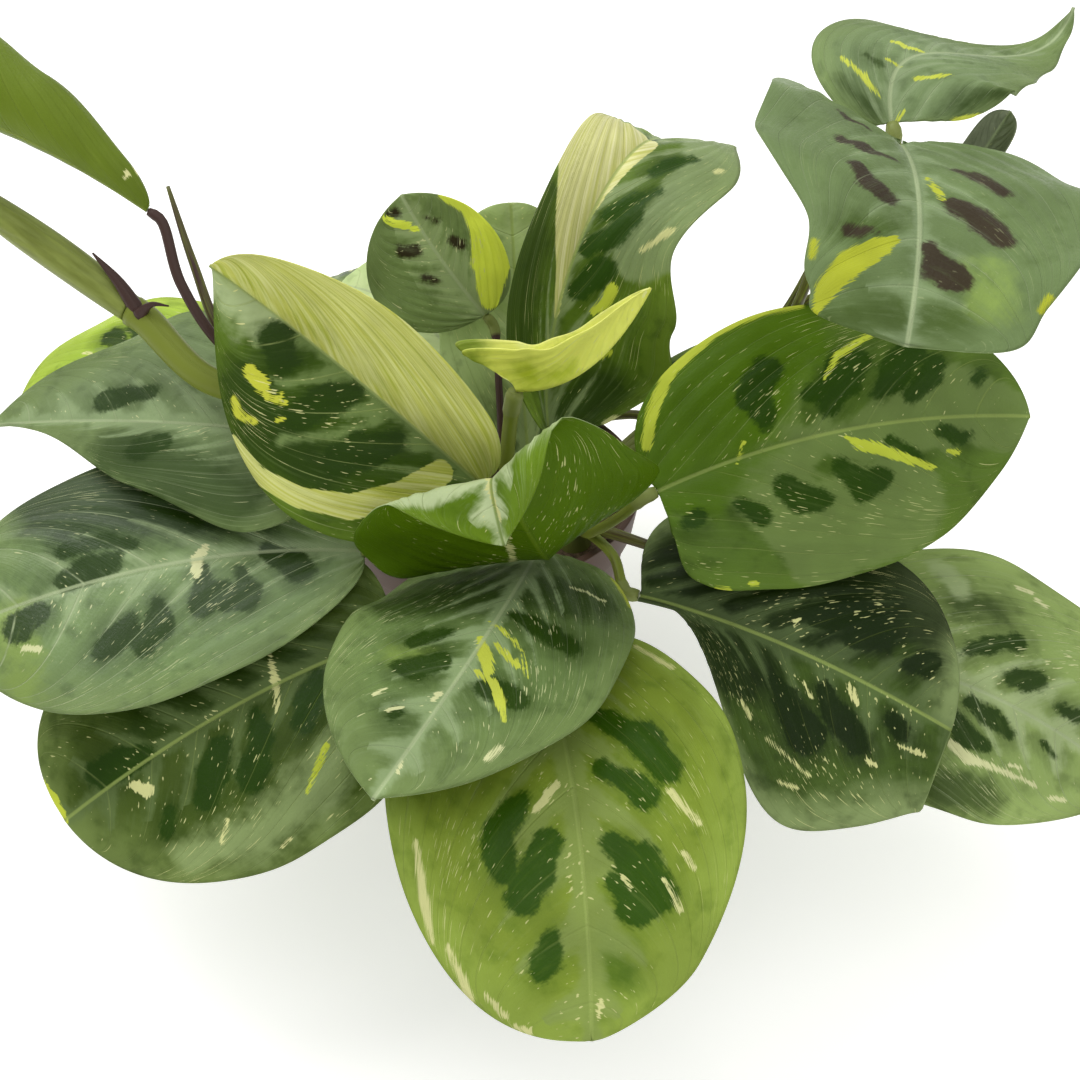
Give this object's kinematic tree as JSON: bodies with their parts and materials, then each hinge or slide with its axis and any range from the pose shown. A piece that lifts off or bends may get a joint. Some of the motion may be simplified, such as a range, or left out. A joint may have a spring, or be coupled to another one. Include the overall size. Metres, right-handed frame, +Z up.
{
  "type": "potted prayer plant",
  "caption": "Potted prayer plant with broad oval leaves patterned in silver, green, lime and cream.",
  "frame": {"origin": "middle of the pot's foot, on the surface that the pot stands on", "axes": "+Z up along the pot's axis, -Y towards the side that the picture shows, +X to the right there"},
  "size_m": [0.3149, 0.2828, 0.2145],
  "materials": {
    "pot": "satin",
    "soil": "matte",
    "stalk": "satin",
    "leaf_silver": "satin",
    "leaf_green": "satin",
    "leaf_lime": "satin"
  },
  "bodies": {
    "root": {"pot": "pot", "soil": "soil", "stalks_middle": "stalk", "stalks_left": "stalk", "stalks_front_left": "stalk", "stalks_front": "stalk", "stalks_front_right": "stalk", "stalks_right": "stalk", "stalks_back": "stalk", "leaf_front_low": "leaf_green", "leaf_front_middle": "leaf_silver", "leaf_front_cupped": "leaf_green", "leaf_left_low": "leaf_green", "leaf_left_middle": "leaf_silver", "leaf_left_folded": "leaf_lime", "leaf_left_high": "leaf_silver", "leaf_left_back": "leaf_lime", "leaf_left_furled": "leaf_lime", "leaf_middle_tall": "leaf_green", "leaf_middle_new": "leaf_lime", "leaf_middle_back": "leaf_green", "leaf_middle_small": "leaf_lime", "leaf_right_middle": "leaf_green", "leaf_right_low": "leaf_green", "leaf_right_outer": "leaf_silver", "leaf_right_high": "leaf_silver", "leaf_right_top": "leaf_silver", "leaf_right_bud": "leaf_silver", "leaf_back_left_high": "leaf_silver", "leaf_back_middle": "leaf_green", "leaf_back_right": "leaf_green", "leaf_back_left": "leaf_green", "leaf_left_rolled": "leaf_lime"}
  },
  "joints": []
}
